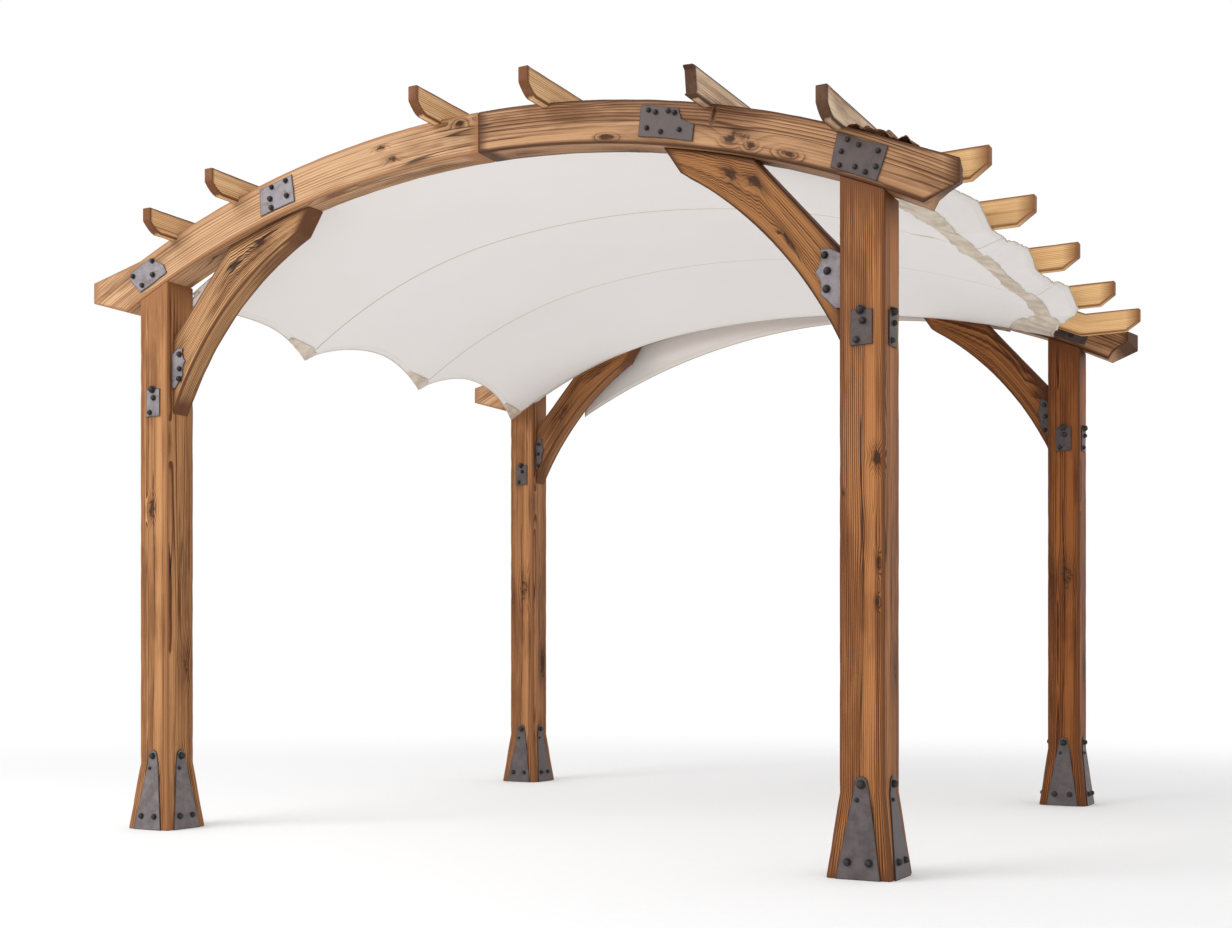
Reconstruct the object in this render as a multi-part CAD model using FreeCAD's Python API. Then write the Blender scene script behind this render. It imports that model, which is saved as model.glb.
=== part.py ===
import FreeCAD, Part
import math
import os
from FreeCAD import Vector

# Wooden garden gazebo: four posts, two curved arches, purlins, roof ribs and a fabric canopy.
# Millimetres. +X runs along the arches, +Y from the front arch to the rear one, +Z is up,
# and the origin lies on the ground under the middle of the roof.

# Driving dimensions of the frame.
span = 3050.0
depth = 2850.0
post_side = 150.0
arch_radius = 3830.0
crown_height = 2530.0
arch_depth = 150.0
arch_thick = 120.0
eave = 1866.0
splice_place = 70.0

# Posts with flared feet and the steel plates on them.
foot_side = 218.0
flare_height = 270.0
foot_plate_height = 325.0
foot_plate_top = 44.0
foot_plate_foot = 150.0
steel = 5.0

# Ends of the arches: the top runs out straight past the post and the lower corner is clipped.
# Each hand-cut end gives how far it passes the eave, the fall of its straight top, the height
# of its nose and the length of its clipped corner.
straight_length = 266.0
left_end = (3.0, 63.0, 85.0, 187.0)
right_end = (-23.0, 102.0, 77.0, 118.0)

# Curved braces, given inwards from the post's inner face and down from where the arch meets it.
brace_thick = 90.0
brace_drop = 545.0
brace_shoulder_drop = 238.0
brace_reach = 646.0
long_brace_reach = 715.0
brace_heel = 312.0
brace_cut_run = 64.0
brace_cut_drop = 96.0
brace_belly_run = 267.0
brace_belly_drop = 152.0

# Purlins, laid from front to rear over the arches.
purlin_places = (-1415.0, -1087.0, -113.0, 353.0, 983.0, 1446.0)
purlin_thick = 40.0
purlin_depth = 95.0
purlin_stand = 80.0
purlin_overhang = 150.0
purlin_nose = 50.0
purlin_round = 62.0
purlin_fullness = 0.2
hollow_nosed = 5
hollow_bite = 42.0
hollow_toe = 14.0

# Roof ribs between the arches, each with a straight tail over the right eave.
rib_step = 710.0
rib_edge_gap = 76.0
rib_thick = 42.0
rib_depth = 100.0
rib_left_cut = 300.0
tail_length = 226.0
tail_past = 19.0
tail_nose = 56.0
tail_clip = 62.0

# Steel plates over the joints. Those at the braces run from past the brace's tip, towards
# the middle of the roof, to a place over its head.
plate_margin = 22.0
post_joint_width = 160.0
left_joint_past = 19.0
left_joint_over = 147.0
right_joint_past = 72.0
right_joint_over = 134.0
splice_plate_length = 300.0
right_bracket = (94.0, 223.0, 196.0)
left_bracket = (76.0, 276.0, 162.0)
rear_bracket = (56.0, 290.0, 178.0)
bracket_point_rise = 26.0
bracket_toe_rise = 52.0
bracket_shoulder = 22.0
bracket_edge_share = 0.8
bracket_bite_share = 0.78
bracket_bend_share = 0.45
bracket_toe_share = 0.24
post_plate_width = 74.0
post_plate_gap = 5.0
post_plate_height = 112.0
post_plate_tab = 14.0

# Canopy: three widths of heavy fabric sewn side by side, hung under the ribs.
cloth = 4.0
fit_gap = 0.3
edge_gap = 14.0
seam_count = 2
sag = 12.0
bend_sag_share = 0.3
rear_drops = (22.0, 70.0, 88.0)
droop_length = 1105.0
droop_radius = 2460.0
left_tip_gap = 262.0
right_tip_gap = 129.0
right_corner_gap = 390.0
scallop_left = 100.0
scallop_right = 30.0
post_notch = 4.0

# Folded pocket sewn under the canopy along its right bend.
pocket_width = 118.0
pocket_gap = 30.0
pocket_thick = 5.0

# Valance hung from the rear ends of the purlins, its lower edge given down from the crown.
valance_gap = 45.0
valance_end_gap = 645.0
valance_slot = 16.0
valance_left_drop = 442.0
valance_middle_drop = 78.0
valance_right_drop = 200.0

centre_height = crown_height - arch_radius
arch_top = arch_radius + arch_depth
half_span = span / 2
half_depth = depth / 2
outer_face = half_depth + post_side / 2
inner_face = outer_face - arch_thick
post_inner = half_span - post_side / 2
rib_low = arch_top - rib_depth
rib_left = rib_left_cut - eave
tail_start = eave - tail_length
tail_end = eave + tail_past
tail_low = centre_height + math.sqrt(arch_top ** 2 - tail_start ** 2) - rib_depth
tail_low_start = math.sqrt(rib_low ** 2 - (tail_low - centre_height) ** 2)
rib_edge = inner_face - rib_edge_gap
rib_places = (-rib_edge, -rib_step, 0.0, rib_step, rib_edge)
brace_tip = post_inner - brace_reach
spring_height = centre_height + math.sqrt(arch_radius ** 2 - post_inner ** 2)

parts = {}


def on_arc(radius, x):
    """Point on a circle about the arch centre, in the plane y = 0."""
    return Vector(x, 0, centre_height + math.sqrt(radius ** 2 - x ** 2))


def arc(radius, x_start, x_end):
    return Part.Arc(on_arc(radius, x_start), on_arc(radius, (x_start + x_end) / 2),
                    on_arc(radius, x_end)).toShape()


def line(start, end):
    return Part.makeLine(start, end)


def slab(edges, y_start, thickness):
    """Solid with the outline given in the plane y = 0, from y_start towards the rear."""
    face = Part.Face(Part.Wire(Part.__sortEdges__(edges)))
    face.translate(Vector(0, y_start, 0))
    return face.extrude(Vector(0, thickness, 0))


def mirrored(shape, across):
    return shape.mirror(Vector(0, 0, 0), across)


# Arches: each is two halves butted near the crown, with clipped noses past the posts.
def arch_half(side, y_start):
    past, straight_fall, nose_height, clip_length = left_end if side < 0 else right_end
    bend = side * (eave - straight_length)
    end = side * (eave + past)
    clip = end - side * clip_length
    top_inner = on_arc(arch_top, splice_place)
    low_inner = on_arc(arch_radius, splice_place)
    bend_top = on_arc(arch_top, bend)
    clip_low = on_arc(arch_radius, clip)
    nose_top = Vector(end, 0, bend_top.z - straight_fall)
    nose_low = nose_top - Vector(0, 0, nose_height)
    edges = [
        arc(arch_top, splice_place, bend),
        line(bend_top, nose_top),
        line(nose_top, nose_low),
        line(nose_low, clip_low),
        arc(arch_radius, clip, splice_place),
        line(low_inner, top_inner),
    ]
    return slab(edges, y_start, arch_thick)


parts["front_arch_left"] = arch_half(-1, -outer_face)
parts["front_arch_right"] = arch_half(1, -outer_face)
parts["rear_arch_left"] = arch_half(-1, inner_face)
parts["rear_arch_right"] = arch_half(1, inner_face)


# Posts: a square shaft on a flared foot, its top cut to the underside of the arch.
def square(side, height):
    half = side / 2
    corners = [Vector(-half, -half, height), Vector(half, -half, height),
               Vector(half, half, height), Vector(-half, half, height)]
    return Part.makePolygon(corners + corners[:1])


def post_body(grow):
    """Flared foot and shaft about the z axis, larger by grow on every side."""
    foot = Part.makeLoft([square(foot_side + 2 * grow, 0),
                          square(post_side + 2 * grow, flare_height)], True, True)
    shaft_side = post_side + 2 * grow
    shaft = Part.makeBox(shaft_side, shaft_side, crown_height,
                         Vector(-shaft_side / 2, -shaft_side / 2, flare_height))
    return foot.fuse(shaft).removeSplitter()


under_arch = Part.makeCylinder(arch_radius, 2 * depth, Vector(0, -depth, centre_height),
                               Vector(0, 1, 0))
post_places = {
    "front_left": Vector(-half_span, -half_depth, 0),
    "front_right": Vector(half_span, -half_depth, 0),
    "rear_left": Vector(-half_span, half_depth, 0),
    "rear_right": Vector(half_span, half_depth, 0),
}


# Foot plates: one on each face of a foot, bent where the flare begins.
def foot_plate_outline():
    half_top = foot_plate_top / 2
    half_foot = foot_plate_foot / 2
    shoulder = foot_plate_height - half_top
    left_low = Vector(-half_foot, 0, 0)
    right_low = Vector(half_foot, 0, 0)
    left_top = Vector(-half_top, 0, shoulder)
    right_top = Vector(half_top, 0, shoulder)
    crown = Part.Arc(left_top, Vector(0, 0, foot_plate_height), right_top).toShape()
    return [line(left_low, right_low), line(right_low, right_top), crown,
            line(left_top, left_low)]


skin = post_body(steel).cut(post_body(0))
foot_plate = slab(foot_plate_outline(), -foot_side, foot_side).common(skin)

for name, place in post_places.items():
    post = post_body(0)
    post.translate(place)
    parts[name + "_post"] = post.common(under_arch)
    plates = []
    for quarter in range(4):
        plate = foot_plate.copy()
        plate.rotate(Vector(0, 0, 0), Vector(0, 0, 1), 90 * quarter)
        plate.translate(place)
        plates.append(plate)
    parts[name + "_foot_plates"] = Part.makeCompound(plates)


# Braces: straight upper edge, concave lower edge, in the plane of each arch.
def brace(reach):
    tip = on_arc(arch_radius, post_inner - reach)
    heel = on_arc(arch_radius, post_inner - brace_heel)
    cut = Vector(tip.x + brace_cut_run, 0, tip.z - brace_cut_drop)
    shoulder = Vector(post_inner, 0, spring_height - brace_shoulder_drop)
    low = Vector(post_inner, 0, spring_height - brace_drop)
    belly = Vector(post_inner - brace_belly_run, 0, spring_height - brace_belly_drop)
    edges = [
        arc(arch_radius, tip.x, heel.x),
        line(heel, shoulder),
        line(shoulder, low),
        Part.Arc(low, belly, cut).toShape(),
        line(cut, tip),
    ]
    return slab(edges, -half_depth - brace_thick / 2, brace_thick)


front_right_brace = brace(brace_reach)
rear_right_brace = mirrored(front_right_brace, Vector(0, 1, 0))
parts["front_right_brace"] = front_right_brace
parts["front_left_brace"] = mirrored(brace(long_brace_reach), Vector(1, 0, 0))
parts["rear_right_brace"] = rear_right_brace
parts["rear_left_brace"] = mirrored(rear_right_brace, Vector(1, 0, 0))


# Ribs: a curved length between the purlins and a level tail past the right eave.
def rib(place):
    top = arch_top
    low = rib_low
    bend_top = on_arc(top, tail_start)
    bend_low = on_arc(low, tail_low_start)
    nose_top = Vector(tail_end, 0, bend_top.z)
    nose_low = Vector(tail_end, 0, bend_top.z - tail_nose)
    clip_low = Vector(tail_end - tail_clip, 0, tail_low)
    edges = [
        arc(top, rib_left, tail_start),
        line(bend_top, nose_top),
        line(nose_top, nose_low),
        line(nose_low, clip_low),
        line(clip_low, bend_low),
        arc(low, tail_low_start, rib_left),
        line(on_arc(low, rib_left), on_arc(top, rib_left)),
    ]
    return slab(edges, place - rib_thick / 2, rib_thick)


for number, place in enumerate(rib_places, start=1):
    parts["rib_%d" % number] = rib(place)


# Purlins: boards on edge, seated in shallow notches over the arches and ribs. All but one
# have noses rounded below, and that one has hollow noses.
def purlin_end(reach, top, low, hollow):
    if hollow:
        bite = Vector(0, reach - hollow_bite, (top + low) / 2)
        toe = Vector(0, reach - hollow_toe, low)
        return [Part.Arc(Vector(0, reach, top), bite, toe).toShape()], toe
    bend = Vector(0, reach, top - purlin_nose)
    toe = Vector(0, reach - purlin_round, low)
    belly = (bend + toe) / 2 + Vector(0, purlin_round, low - bend.z) * purlin_fullness
    return [line(Vector(0, reach, top), bend), Part.Arc(bend, belly, toe).toShape()], toe


def purlin(place, hollow):
    top = on_arc(arch_top, place).z + purlin_stand
    low = top - purlin_depth
    reach = outer_face + purlin_overhang
    flip = FreeCAD.Matrix()
    flip.scale(1, -1, 1)
    nose, toe = purlin_end(reach, top, low, hollow)
    edges = nose + [edge.transformGeometry(flip) for edge in nose] + [
        line(Vector(0, -reach, top), Vector(0, reach, top)),
        line(Vector(0, -toe.y, low), toe),
    ]
    board = Part.Face(Part.Wire(Part.__sortEdges__(edges)))
    board = board.extrude(Vector(purlin_thick, 0, 0))
    board.translate(Vector(place - purlin_thick / 2, 0, 0))
    for piece, shape in parts.items():
        if "arch" in piece or piece.startswith("rib_"):
            board = board.cut(shape)
    return board


for number, place in enumerate(purlin_places, start=1):
    parts["purlin_%d" % number] = purlin(place, number == hollow_nosed)


# Steel plates bolted to both faces of the arches, and a splice plate behind each butt joint.
def ring_plate(start, end, y_start, thickness):
    """Plate along the arch between two places on its underside, with ends square to it."""
    low = arch_radius + plate_margin
    high = arch_top - plate_margin
    turn_start = start / arch_radius
    turn_end = end / arch_radius
    edges = [
        arc(low, low * turn_start, low * turn_end),
        line(on_arc(low, low * turn_end), on_arc(high, high * turn_end)),
        arc(high, high * turn_end, high * turn_start),
        line(on_arc(high, high * turn_start), on_arc(low, low * turn_start)),
    ]
    return slab(edges, y_start, thickness)


half_joint = post_joint_width / 2
arch_plate_places = (
    (-half_span - half_joint, -half_span + half_joint),
    (-brace_tip - left_joint_over, -brace_tip + left_joint_past),
    (brace_tip - right_joint_past, brace_tip + right_joint_over),
    (half_span - half_joint, half_span + half_joint),
)
joint_plates = []
for start, end in arch_plate_places:
    for y_start in (-outer_face - steel, -inner_face):
        plate = ring_plate(start, end, y_start, steel)
        for number in range(1, len(purlin_places) + 1):
            plate = plate.cut(parts["purlin_%d" % number])
        joint_plates.append(plate)
splice_plate = ring_plate(splice_place - splice_plate_length / 2,
                          splice_place + splice_plate_length / 2, -inner_face, steel)
front_plates = Part.makeCompound(joint_plates)
parts["front_arch_plates"] = front_plates
parts["rear_arch_plates"] = mirrored(front_plates, Vector(0, 1, 0))
parts["front_splice_plate"] = splice_plate
parts["rear_splice_plate"] = mirrored(splice_plate, Vector(0, 1, 0))


# Brace brackets: scalloped plates on both faces of each brace, hard against the post. Each
# size gives the bracket's width, its drop below the arch and its height.
def bracket(size, y_start):
    bracket_width, bracket_drop, bracket_height = size
    top = spring_height - bracket_drop
    low = top - bracket_height
    point = Vector(post_inner - bracket_width, 0, (top + low) / 2 + bracket_point_rise)
    edge_x = post_inner - bracket_width * bracket_edge_share
    bite_x = post_inner - bracket_width * bracket_bite_share
    top_left = Vector(edge_x, 0, top)
    low_left = Vector(edge_x, 0, low + bracket_toe_rise)
    upper_bite = Vector(bite_x, 0, (top_left.z + point.z) / 2)
    lower_bite = Vector(bite_x, 0, (low_left.z + point.z) / 2)
    top_bend = Vector(post_inner - bracket_width * bracket_bend_share, 0, top)
    top_end = Vector(post_inner, 0, top - bracket_shoulder)
    toe = Vector(post_inner - bracket_width * bracket_toe_share, 0, low)
    foot = Vector(post_inner, 0, low)
    edges = [
        line(foot, top_end),
        line(top_end, top_bend),
        line(top_bend, top_left),
        Part.Arc(top_left, upper_bite, point).toShape(),
        Part.Arc(point, lower_bite, low_left).toShape(),
        line(low_left, toe),
        line(toe, foot),
    ]
    return slab(edges, y_start, steel)


def bracket_pair(size):
    return [bracket(size, -half_depth - brace_thick / 2 - steel),
            bracket(size, -half_depth + brace_thick / 2)]


front_brackets = bracket_pair(right_bracket)
front_brackets += [mirrored(plate, Vector(1, 0, 0)) for plate in bracket_pair(left_bracket)]
parts["front_brace_brackets"] = Part.makeCompound(front_brackets)
rear_brackets = bracket_pair(rear_bracket)
rear_brackets += [mirrored(plate, Vector(1, 0, 0)) for plate in rear_brackets]
parts["rear_brace_brackets"] = mirrored(Part.makeCompound(rear_brackets), Vector(0, 1, 0))


# Small plates on the posts below the braces, each with a round tab at the top.
post_plate_low = spring_height - brace_drop - post_plate_gap


def post_plate(y_start):
    half = post_plate_width / 2
    high = post_plate_low + post_plate_height
    tab = Part.Arc(Vector(post_plate_tab, 0, high), Vector(0, 0, high + post_plate_tab),
                   Vector(-post_plate_tab, 0, high)).toShape()
    edges = [
        line(Vector(-half, 0, post_plate_low), Vector(half, 0, post_plate_low)),
        line(Vector(half, 0, post_plate_low), Vector(half, 0, high)),
        line(Vector(half, 0, high), Vector(post_plate_tab, 0, high)),
        tab,
        line(Vector(-post_plate_tab, 0, high), Vector(-half, 0, high)),
        line(Vector(-half, 0, high), Vector(-half, 0, post_plate_low)),
    ]
    return slab(edges, y_start, steel)


for end in ("front", "rear"):
    plates = []
    for side in ("left", "right"):
        place = post_places[end + "_" + side]
        outward = 90 if side == "right" else -90
        for turn in (0, 180, outward):
            plate = post_plate(-post_side / 2 - steel)
            plate.rotate(Vector(0, 0, 0), Vector(0, 0, 1), turn)
            plate.translate(place)
            plates.append(plate)
    parts[end + "_post_plates"] = Part.makeCompound(plates)


# Canopy: sections across the roof, set one behind the other and lofted.
left_tip = left_tip_gap - eave
droop_start = left_tip + droop_length
right_tip = eave - right_tip_gap
right_bend = tail_low_start


def section_arcs(drop, below):
    """Left and right arcs of the cloth, lowered by drop, and their far ends."""
    start = on_arc(rib_low, droop_start) - Vector(0, 0, drop + fit_gap)
    middle = on_arc(rib_low, (droop_start + right_bend) / 2) - Vector(0, 0, drop + fit_gap)
    bend = on_arc(rib_low, right_bend) - Vector(0, 0, drop * bend_sag_share + fit_gap)
    main = Part.Arc(start, middle, bend).toShape().Curve
    centre = main.Center
    left_centre = start + (centre - start) * (droop_radius / main.Radius)

    def inward(point, about):
        return point + (about - point).normalize() * below

    def on_left(radius, x):
        return Vector(x, 0, left_centre.z + math.sqrt(radius ** 2 - (x - left_centre.x) ** 2))

    radius = droop_radius - below
    tip = on_left(radius, left_tip)
    join = inward(start, centre)
    left = Part.Arc(tip, on_left(radius, (tip.x + join.x) / 2), join).toShape()
    right = Part.Arc(join, inward(middle, centre), inward(bend, centre)).toShape()
    return left, right, tip, inward(bend, centre)


def canopy_section(place, drop):
    upper_left, upper_right, upper_tip, upper_bend = section_arcs(drop, 0)
    lower_left, lower_right, lower_tip, lower_bend = section_arcs(drop, cloth)
    upper_end = Vector(right_tip, 0, upper_bend.z)
    lower_end = Vector(right_tip, 0, lower_bend.z)
    edges = [upper_left, upper_right, line(upper_bend, upper_end), line(upper_end, lower_end),
             line(lower_end, lower_bend), lower_right, lower_left, line(lower_tip, upper_tip)]
    outline = Part.Wire(Part.__sortEdges__(edges))
    outline.translate(Vector(0, place, 0))
    return outline


canopy_edge = inner_face - edge_gap
stations = [(-canopy_edge, sag / 2)]
for near, far in zip(rib_places, rib_places[1:]):
    stations.append((near, 0))
    stations.append(((near + far) / 2, sag))
stations[-1] = (stations[-1][0], sag + rear_drops[0])
stations.append((rib_places[-1], rear_drops[1]))
stations.append((canopy_edge, rear_drops[2]))
canopy = Part.makeLoft([canopy_section(*station) for station in stations], True, False)


def scallop(start, end, bite, away):
    """Upright cutter that hollows the edge of the cloth between two held corners."""
    middle = (start + end) / 2 - Vector(away * bite, 0, 0)
    outward = Vector(away * eave, 0, 0)
    edges = [Part.Arc(start, middle, end).toShape(), line(end, end + outward),
             line(end + outward, start + outward), line(start + outward, start)]
    face = Part.Face(Part.Wire(Part.__sortEdges__(edges)))
    return face.extrude(Vector(0, 0, 2 * crown_height))


strip = 2 * canopy_edge / (seam_count + 1)
seams = [-canopy_edge + strip * number for number in range(seam_count + 2)]
left_corners = [Vector(left_tip, place, 0) for place in seams]
right_corners = [Vector(right_tip, place, 0) for place in (-canopy_edge,) + rib_places[1:-1]]
right_corners.append(Vector(eave - right_corner_gap, canopy_edge, 0))
for start, end in zip(left_corners, left_corners[1:]):
    canopy = canopy.cut(scallop(start, end, scallop_left, -1))
for start, end in zip(right_corners, right_corners[1:]):
    canopy = canopy.cut(scallop(start, end, scallop_right, 1))
notch_side = foot_side + post_side
notch_x = post_inner - post_notch
notch_y = half_depth - post_side / 2 - post_notch
for corner in (Vector(-notch_x - notch_side, notch_y, 0),
               Vector(-notch_x - notch_side, -notch_y - notch_side, 0)):
    canopy = canopy.cut(Part.makeBox(notch_side, notch_side, 2 * crown_height, corner))
parts["canopy"] = canopy


# Pocket: a folded band under the canopy, following its sag from front to rear.
pocket_end = right_bend - pocket_gap
pocket_start = pocket_end - pocket_width


def pocket_section(place, drop):
    upper_right = section_arcs(drop, cloth + fit_gap)[1].Curve
    centre = upper_right.Center

    def on_cloth(x, below):
        radius = upper_right.Radius - below
        return Vector(x, 0, centre.z + math.sqrt(radius ** 2 - (x - centre.x) ** 2))

    middle = (pocket_start + pocket_end) / 2
    upper = [on_cloth(x, 0) for x in (pocket_start, middle, pocket_end)]
    lower = [on_cloth(x, pocket_thick) for x in (pocket_start, middle, pocket_end)]
    edges = [Part.Arc(*upper).toShape(), line(upper[2], lower[2]),
             Part.Arc(*lower).toShape(), line(lower[0], upper[0])]
    outline = Part.Wire(Part.__sortEdges__(edges))
    outline.translate(Vector(0, place, 0))
    return outline


pocket = Part.makeLoft([pocket_section(*station) for station in stations], True, False)
rear_cutter = scallop(right_corners[-2], right_corners[-1], scallop_right, 1)
parts["canopy_pocket"] = pocket.cut(rear_cutter)


# Valance: an upright strip slotted over the purlin ends behind the rear arch.
valance_top = arch_top - purlin_depth + purlin_stand + valance_slot
valance_end = eave - valance_end_gap
low_left = Vector(-valance_end, 0, crown_height - valance_left_drop)
low_middle = Vector(0, 0, crown_height - valance_middle_drop)
low_right = Vector(valance_end, 0, crown_height - valance_right_drop)
valance_edges = [
    arc(valance_top, -valance_end, valance_end),
    line(on_arc(valance_top, valance_end), low_right),
    Part.Arc(low_right, low_middle, low_left).toShape(),
    line(low_left, on_arc(valance_top, -valance_end)),
]
valance = slab(valance_edges, outer_face + valance_gap, cloth)
for piece, shape in parts.items():
    if piece.startswith("purlin_"):
        valance = valance.cut(shape)
parts["rear_valance"] = valance

os.makedirs("parts", exist_ok=True)
for name, shape in parts.items():
    if not shape.isValid():
        raise ValueError(name + " is not a valid solid")
    shape.exportStep("parts/" + name + ".step")
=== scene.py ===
import math
import bmesh
import bpy
from mathutils import Matrix, Vector, noise


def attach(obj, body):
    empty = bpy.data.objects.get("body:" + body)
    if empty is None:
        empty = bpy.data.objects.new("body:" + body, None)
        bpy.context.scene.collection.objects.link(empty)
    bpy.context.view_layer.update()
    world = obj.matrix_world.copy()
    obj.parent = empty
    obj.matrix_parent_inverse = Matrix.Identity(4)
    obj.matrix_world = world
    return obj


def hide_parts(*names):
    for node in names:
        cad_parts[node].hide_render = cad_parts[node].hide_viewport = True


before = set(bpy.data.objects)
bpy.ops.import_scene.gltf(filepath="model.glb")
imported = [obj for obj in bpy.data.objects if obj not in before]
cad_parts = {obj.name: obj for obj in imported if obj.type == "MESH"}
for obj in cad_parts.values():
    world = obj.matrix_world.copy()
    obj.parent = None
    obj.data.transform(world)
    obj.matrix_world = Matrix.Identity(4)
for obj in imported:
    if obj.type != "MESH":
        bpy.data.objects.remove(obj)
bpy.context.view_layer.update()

# Camera in front of the gazebo and to its right, level and at knee height, with the lens raised
# in its mount so that the posts stay upright in the picture.
camera_data = bpy.data.cameras.new("garden_camera")
camera_data.sensor_width = 36.0
camera_data.lens = 45.47
camera_data.shift_y = 0.159
camera = bpy.data.objects.new("garden_camera", camera_data)
camera.location = (3.199, -6.211, 0.695)
camera.rotation_euler = (math.radians(90), 0, math.radians(28.53))
bpy.context.scene.collection.objects.link(camera)
bpy.context.scene.camera = camera

# Posts: squared softwood 150 mm thick on a flared foot, oiled brown, with the arrises eased by
# hand, long drying cracks and knots. The top is cut to the underside of the arch.
post_side = 0.15
foot_side = 0.218
flare_height = 0.27
arch_radius = 3.83
arch_centre = -1.3
half_span = 1.525
half_depth = 1.425
post_places = {
    "front_left": Vector((-half_span, -half_depth, 0)),
    "front_right": Vector((half_span, -half_depth, 0)),
    "rear_left": Vector((-half_span, half_depth, 0)),
    "rear_right": Vector((half_span, half_depth, 0)),
}


def on_circle(radius, x):
    """Height of a circle about the arch centre, over the place x."""
    return arch_centre + math.sqrt(radius ** 2 - x ** 2)


def sawn_timber(length, depth, thickness, stations, arris):
    """Straight timber from x = 0, depth along z and thickness along y, with eased arrises."""
    timber = bmesh.new()
    bmesh.ops.create_cube(timber, size=1.0)
    bmesh.ops.scale(timber, vec=(length, thickness, depth), verts=timber.verts)
    bmesh.ops.translate(timber, vec=(length / 2, 0, 0), verts=timber.verts)
    bmesh.ops.bevel(timber, geom=timber.edges[:], affect="EDGES", offset=arris, segments=2,
                    profile=0.5, material=-1)
    cuts = [(Vector((place, 0, 0)), Vector((1, 0, 0))) for place in stations]
    for side in (-1, 1):
        cuts.append((Vector((0, side * (thickness / 2 - 3 * arris), 0)), Vector((0, 1, 0))))
        cuts.append((Vector((0, 0, side * (depth / 2 - 3 * arris))), Vector((0, 0, 1))))
    for place, direction in cuts:
        geometry = timber.verts[:] + timber.edges[:] + timber.faces[:]
        bmesh.ops.bisect_plane(timber, geom=geometry, plane_co=place, plane_no=direction)
    return timber


def make_piece(work, name, finish, smooth=False, sharp=None):
    """Turns a worked mesh into a piece, smooth where asked, with edges over sharp kept crisp."""
    mesh = bpy.data.meshes.new(name)
    work.to_mesh(mesh)
    work.free()
    if smooth:
        mesh.polygons.foreach_set("use_smooth", [True] * len(mesh.polygons))
    if sharp is not None:
        mesh.set_sharp_from_angle(angle=math.radians(sharp))
    mesh.materials.append(finish)
    piece = bpy.data.objects.new(name, mesh)
    bpy.context.scene.collection.objects.link(piece)
    return piece


def fix_timber(timber, name, node, size, shape, tree, finish, slot_name, grown="straight"):
    """Shapes a straight timber to its place, wears its arrises, paints shade at post tops and brace
    ends, and hangs it in for its node.
    """
    length, depth, thickness, arris = size
    grain = timber.verts.layers.float_vector.new("grain")
    wear_and_shade = timber.verts.layers.float.new("wear_and_shade")
    for vert in timber.verts:
        straight = vert.co.copy()
        inside = sorted((min(straight.x, length - straight.x), depth / 2 - abs(straight.z),
                         thickness / 2 - abs(straight.y)))
        near_end = min(straight.x, length - straight.x)
        eased = inside[1] <= arris * 1.05
        under_nose = near_end < 0.06 and straight.z < arris * 1.05 - depth / 2
        # Painted shade: posts darken towards the top under the arch, and braces towards the end that
        # meets the post. It goes in the same mask as the worn arrises.
        painted_shade = 0.0
        if slot_name in ("post_wood", "brace_wood"):
            painted_shade = 0.75 * max(0.0, 1 - (length - straight.x) / 0.13)
        vert[wear_and_shade] = 1.0 if eased or near_end < 1e-4 or under_nose else painted_shade
        place = straight + Vector((tree * 7.3, tree * 1.9, 0))
        wear = eased * arris * max(0.0, noise.noise(place * 23) * 0.4)
        wear += 0.0003 * noise.noise(place * 9)
        rough = straight - Vector((0, math.copysign(wear, straight.y),
                                   math.copysign(wear, straight.z)))
        vert.co = shape(rough)
        if grown == "straight":
            vert[grain] = straight + Vector((tree * 7.3, 0, 0))
        elif grown == "arched":
            rise = vert.co.z - arch_centre
            vert[grain] = Vector((arch_radius * math.atan2(vert.co.x, rise), straight.y,
                                  math.hypot(vert.co.x, rise) - arch_radius - depth / 2))
        else:
            top = shape(Vector((straight.x, straight.y, depth / 2)))
            vert[grain] = Vector((straight.x + tree * 7.3, straight.y, vert.co.z - top.z))
    bmesh.ops.recalc_face_normals(timber, faces=timber.faces)
    piece = make_piece(timber, name, finish, smooth=True, sharp=40)
    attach(piece, "root")
    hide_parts(node)


def shader_group(name, inputs, outputs):
    """Empty shader node group with the named sockets."""
    group = bpy.data.node_groups.new(name, "ShaderNodeTree")
    for socket, kind in inputs:
        group.interface.new_socket(socket, in_out="INPUT", socket_type="NodeSocket" + kind)
    for socket, kind in outputs:
        group.interface.new_socket(socket, in_out="OUTPUT", socket_type="NodeSocket" + kind)
    return group


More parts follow.
